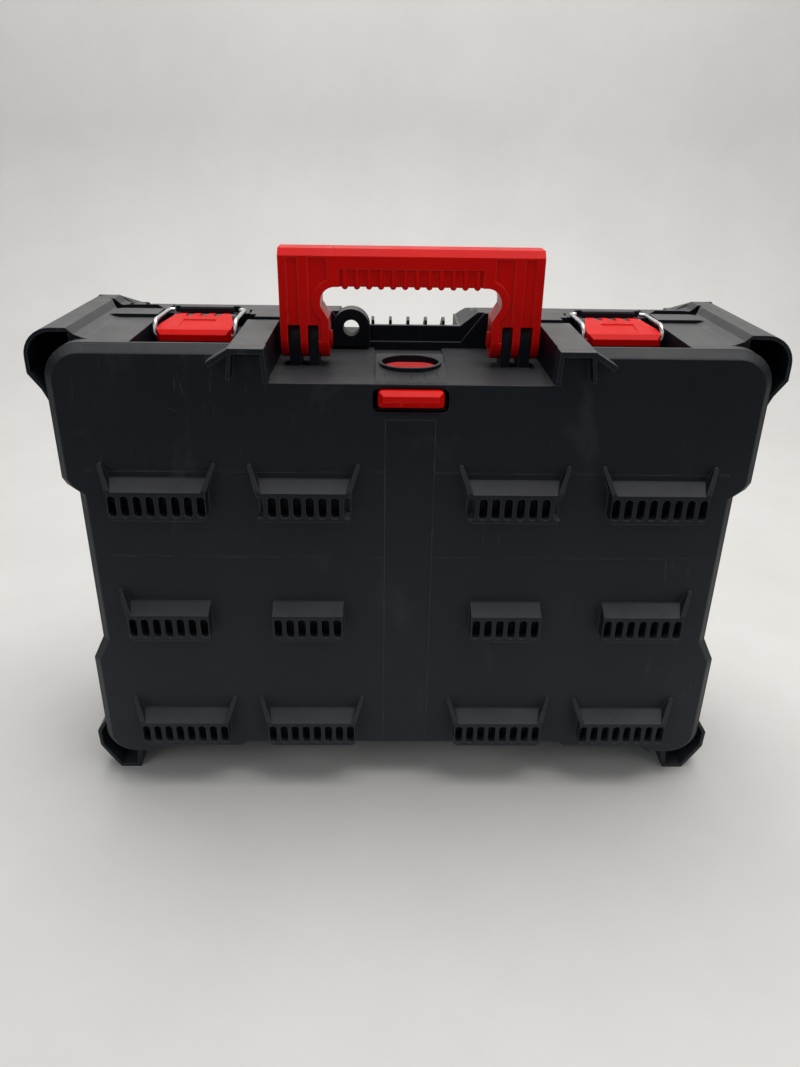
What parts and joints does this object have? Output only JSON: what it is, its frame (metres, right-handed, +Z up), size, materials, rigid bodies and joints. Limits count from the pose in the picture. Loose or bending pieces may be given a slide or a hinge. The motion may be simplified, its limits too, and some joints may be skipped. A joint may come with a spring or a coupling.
{
  "type": "hard tool case",
  "caption": "Hard plastic tool case with hinged lid, folding carry handle, draw latches, stacking cleats and a sprung release slide.",
  "frame": {"origin": "centre of the case's bounding box, on the floor plane under the corner bumpers that it stands on", "axes": "+Z up, +X to the right seen from the front, -Y out of the base's face with the stacking cleats, +Y out of the lid"},
  "size_m": [0.5146, 0.168, 0.4126],
  "materials": {
    "case_plastic": "matte textured",
    "red_plastic": "satin",
    "seal_rubber": "matte",
    "zinc_steel": "zinc plated"
  },
  "bodies": {
    "base": {"base_shell": "case_plastic", "hinge_pin_left": "zinc_steel", "hinge_pin_right": "zinc_steel", "latch_pin_left": "zinc_steel", "latch_pin_right": "zinc_steel", "slide_cover": "case_plastic", "slide_spring_left": "zinc_steel", "slide_spring_right": "zinc_steel", "slide_screws": "zinc_steel", "padlock_eye_base": "case_plastic"},
    "lid": {"lid_shell": "case_plastic", "lid_seal": "seal_rubber", "padlock_eye_lid": "case_plastic"},
    "handle": {"handle": "red_plastic", "handle_pin_left": "zinc_steel", "handle_pin_right": "zinc_steel", "handle_pin_cap_left": "red_plastic", "handle_pin_cap_right": "red_plastic"},
    "lever_left": {"latch_lever_left": "red_plastic"},
    "lever_right": {"latch_lever_right": "red_plastic"},
    "bail_left": {"latch_bail_left": "zinc_steel"},
    "bail_right": {"latch_bail_right": "zinc_steel"},
    "slide": {"release_slide": "red_plastic"}
  },
  "joints": [
    {"name": "lid_hinge", "type": "hinge", "parent": "base", "child": "lid", "pos_m": [0, 0.035, 0.007], "axis": [-1, 0, 0], "range_deg": [0, 100]},
    {"name": "handle_fold", "type": "hinge", "parent": "base", "child": "handle", "pos_m": [0, -0.016, 0.351], "axis": [1, 0, 0], "range_deg": [0, 90]},
    {"name": "latch_left", "type": "hinge", "parent": "base", "child": "lever_left", "pos_m": [-0.152, 0.025, 0.354], "axis": [-1, 0, 0], "range_deg": [0, 95]},
    {"name": "latch_right", "type": "hinge", "parent": "base", "child": "lever_right", "pos_m": [0.152, 0.025, 0.354], "axis": [-1, 0, 0], "range_deg": [0, 95]},
    {"name": "bail_left_pivot", "type": "hinge", "parent": "lever_left", "child": "bail_left", "pos_m": [-0.152, -0.015, 0.351], "axis": [-1, 0, 0], "range_deg": [-95, 0]},
    {"name": "bail_right_pivot", "type": "hinge", "parent": "lever_right", "child": "bail_right", "pos_m": [0.152, -0.015, 0.351], "axis": [-1, 0, 0], "range_deg": [-95, 0]},
    {"name": "slide_travel", "type": "slide", "parent": "base", "child": "slide", "axis": [0, 1, 0], "range_m": [0, 0.008], "stiffness_N_per_m": 300, "springref_m": -0.004, "deforming": ["slide_spring_left", "slide_spring_right"]}
  ],
  "couplings": [
    {"joint": "bail_left_pivot", "follows": "latch_left", "ratio": -1},
    {"joint": "bail_right_pivot", "follows": "latch_right", "ratio": -1}
  ]
}
